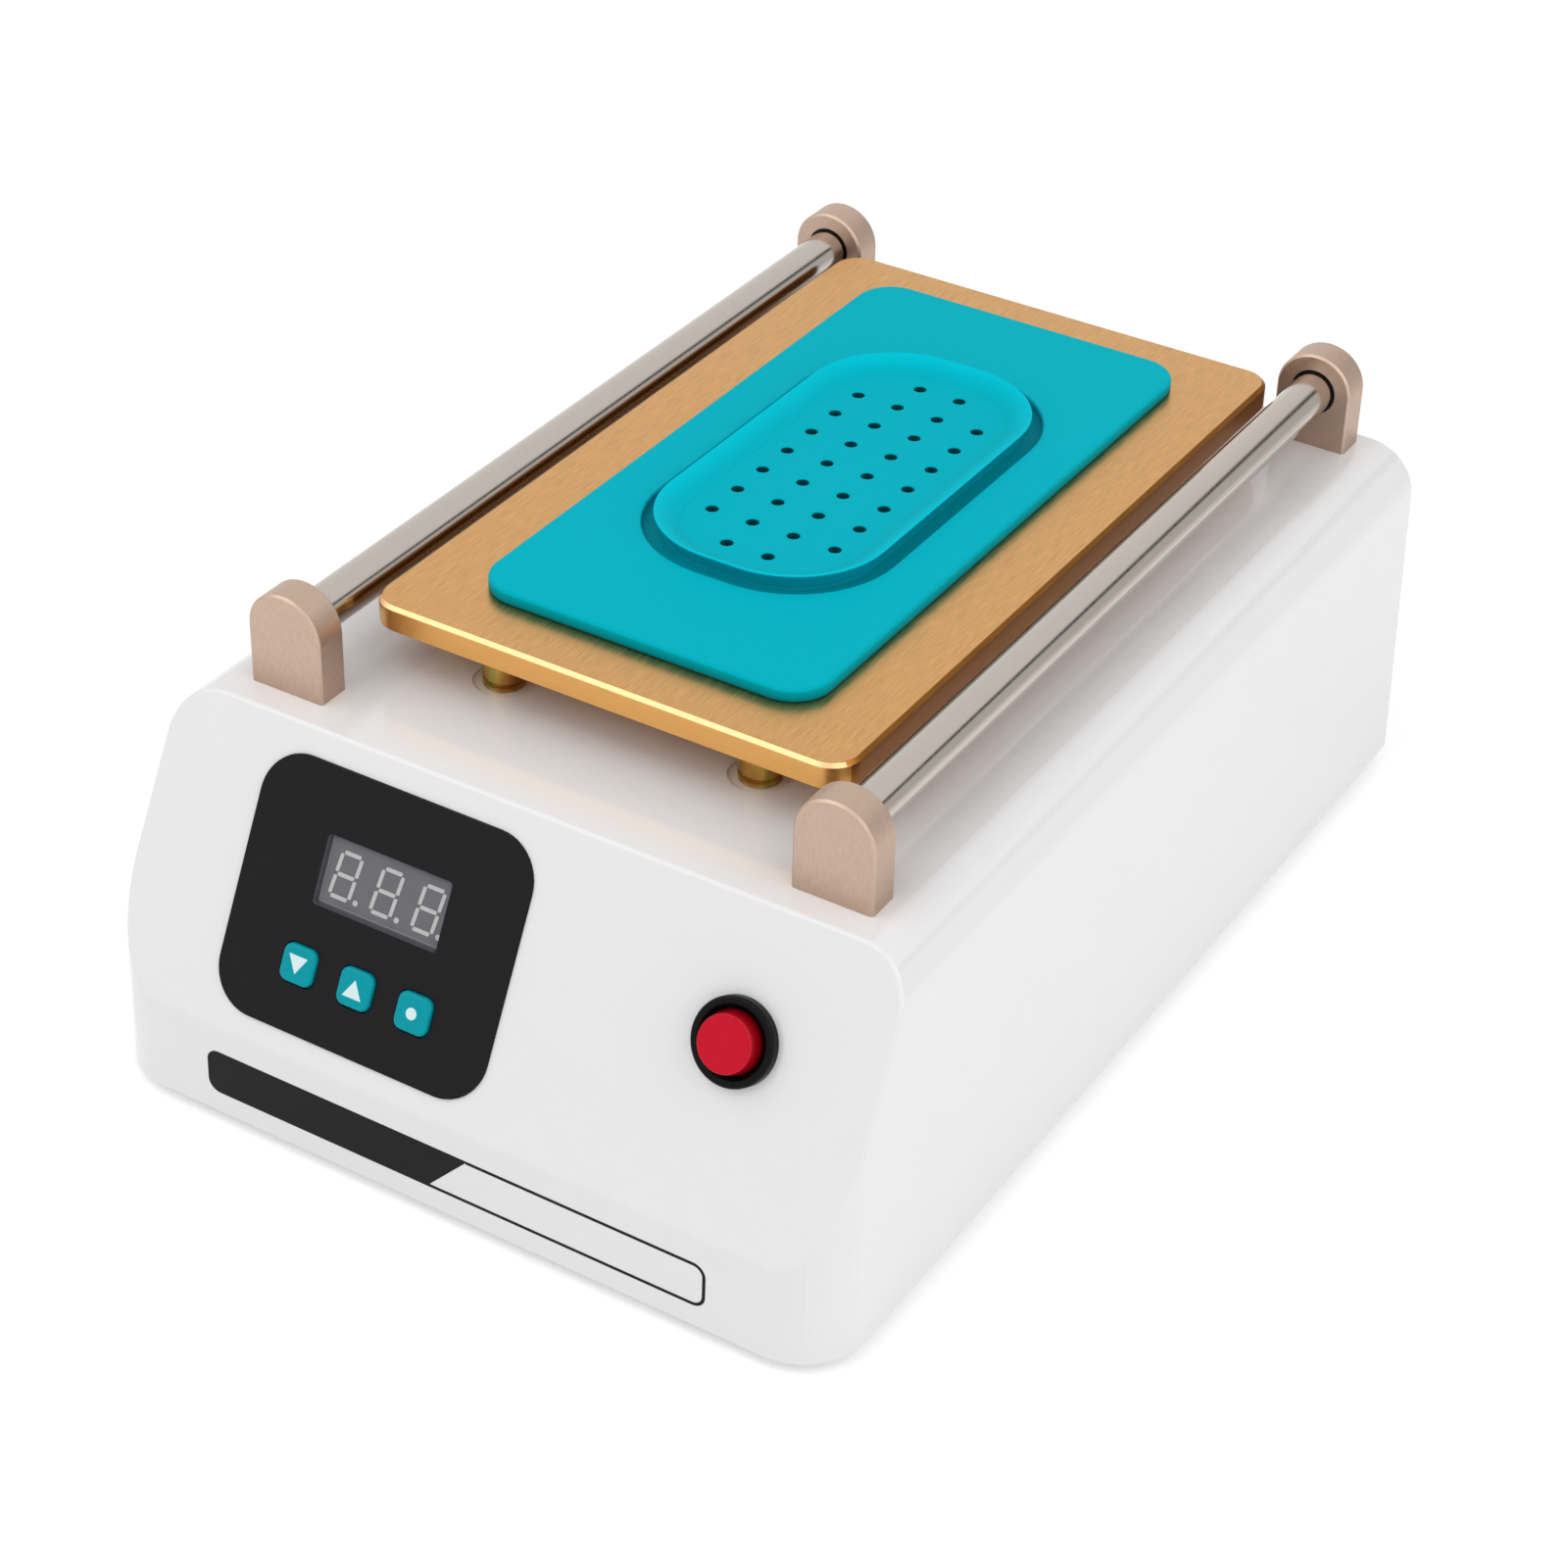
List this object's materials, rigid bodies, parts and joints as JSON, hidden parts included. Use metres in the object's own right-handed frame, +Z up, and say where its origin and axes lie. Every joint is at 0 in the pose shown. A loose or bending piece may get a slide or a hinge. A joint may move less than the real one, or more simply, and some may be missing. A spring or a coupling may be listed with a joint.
{
  "type": "lcd screen separator",
  "caption": "Bench heater for parting phone screens: sloped control housing, hot plate with vacuum mat on standoffs, and two long wire rollers in posts.",
  "frame": {"origin": "middle of the footprint, on the bench under the rubber feet", "axes": "+Y from the control face to the back, +X to the right of someone facing the controls, +Z up"},
  "size_m": [0.1764, 0.2622, 0.1066],
  "materials": {
    "housing_abs": "moulded, glossy",
    "zinc_steel": "zinc plated",
    "rubber_black": "moulded, matt",
    "post_aluminium": "bead blasted and anodised, champagne",
    "bush_acetal": "turned",
    "roller_steel": "ground",
    "plate_aluminium": "milled and anodised, gold",
    "standoff_zinc": "yellow passivated zinc",
    "mat_silicone": "moulded, satin",
    "heater_silicone": "pressed",
    "insulation_board": "pressed fibre board",
    "tinned_brass": "tin plated",
    "fuse_ceramic": "glazed",
    "brass": "turned",
    "hose_silicone": "extruded, milky",
    "lead_silicone": "extruded",
    "panel_film": "satin film",
    "display_lens": "smoked",
    "display_segments": "diffusing",
    "circuit_board": "solder resist",
    "switch_black": "moulded",
    "key_cyan": "moulded",
    "cap_red": "moulded, glossy",
    "winding_tape": "wound tape",
    "capacitor_sleeve": "shrunk sleeve",
    "relay_blue": "moulded",
    "heat_sink_black": "black anodised",
    "terminal_green": "moulded",
    "bracket_steel": "painted",
    "motor_steel": "drawn"
  },
  "bodies": {
    "root": {"housing_shell": "housing_abs", "base_plate": "zinc_steel", "rubber_feet": "rubber_black", "foot_screws": "zinc_steel", "base_screws": "zinc_steel", "post_front_left": "post_aluminium", "post_front_right": "post_aluminium", "post_rear_left": "post_aluminium", "post_rear_right": "post_aluminium", "post_screws": "zinc_steel", "roller_bushes": "bush_acetal", "heating_plate": "plate_aluminium", "plate_standoffs": "standoff_zinc", "standoff_screws": "zinc_steel", "silicone_mat": "mat_silicone", "heater_pad": "heater_silicone", "insulation_board": "insulation_board", "insulation_screws": "zinc_steel", "temperature_sensor": "tinned_brass", "thermal_fuse": "fuse_ceramic", "vacuum_fitting": "brass", "hose_grommet": "rubber_black", "lead_grommet": "rubber_black", "vacuum_hose": "hose_silicone", "heater_leads": "lead_silicone", "control_panel": "panel_film", "display_module": "display_lens", "display_segments": "display_segments", "controller_board": "circuit_board", "board_screws": "zinc_steel", "tact_switches": "switch_black", "button_bezel": "switch_black", "button_nut": "switch_black", "button_terminals": "brass", "inlet_socket": "switch_black", "inlet_pins": "tinned_brass", "inlet_screws": "zinc_steel", "switch_frame": "switch_black", "switch_terminals": "brass", "power_board": "circuit_board", "board_spacers": "brass", "spacer_screws": "zinc_steel", "transformer": "winding_tape", "capacitors": "capacitor_sleeve", "relay": "relay_blue", "heat_sink": "heat_sink_black", "terminal_block": "terminal_green", "pump_bracket": "bracket_steel", "bracket_screws": "zinc_steel", "pump_motor": "motor_steel", "pump_head": "switch_black", "pump_screws": "zinc_steel"},
    "roller_left": {"roller_left": "roller_steel"},
    "roller_right": {"roller_right": "roller_steel"},
    "key_down": {"key_down": "key_cyan"},
    "key_up": {"key_up": "key_cyan"},
    "key_set": {"key_set": "key_cyan"},
    "push_button": {"push_button": "cap_red"},
    "power_rocker": {"power_rocker": "switch_black"}
  },
  "joints": [
    {"name": "roller_left_turn", "type": "hinge", "parent": "root", "child": "roller_left", "pos_m": [-0.0642, 0.01595, 0.0976], "axis": [0, 1, 0], "continuous": true},
    {"name": "roller_right_turn", "type": "hinge", "parent": "root", "child": "roller_right", "pos_m": [0.0642, 0.01595, 0.0976], "axis": [0, 1, 0], "continuous": true},
    {"name": "key_down_press", "type": "slide", "parent": "root", "child": "key_down", "axis": [0, 0.8924, -0.4512], "range_m": [0, 0.0006], "stiffness_N_per_m": 2000, "springref_m": -0.0001},
    {"name": "key_up_press", "type": "slide", "parent": "root", "child": "key_up", "axis": [0, 0.8924, -0.4512], "range_m": [0, 0.0006], "stiffness_N_per_m": 2000, "springref_m": -0.0001},
    {"name": "key_set_press", "type": "slide", "parent": "root", "child": "key_set", "axis": [0, 0.8924, -0.4512], "range_m": [0, 0.0006], "stiffness_N_per_m": 2000, "springref_m": -0.0001},
    {"name": "button_press", "type": "slide", "parent": "root", "child": "push_button", "axis": [0, 0.8924, -0.4512], "range_m": [0, 0.0026], "stiffness_N_per_m": 900, "springref_m": -0.0005},
    {"name": "rocker_tilt", "type": "hinge", "parent": "root", "child": "power_rocker", "pos_m": [0.004, 0.12635, 0.03394], "axis": [1, 0, 0], "range_deg": [0, 22]}
  ]
}
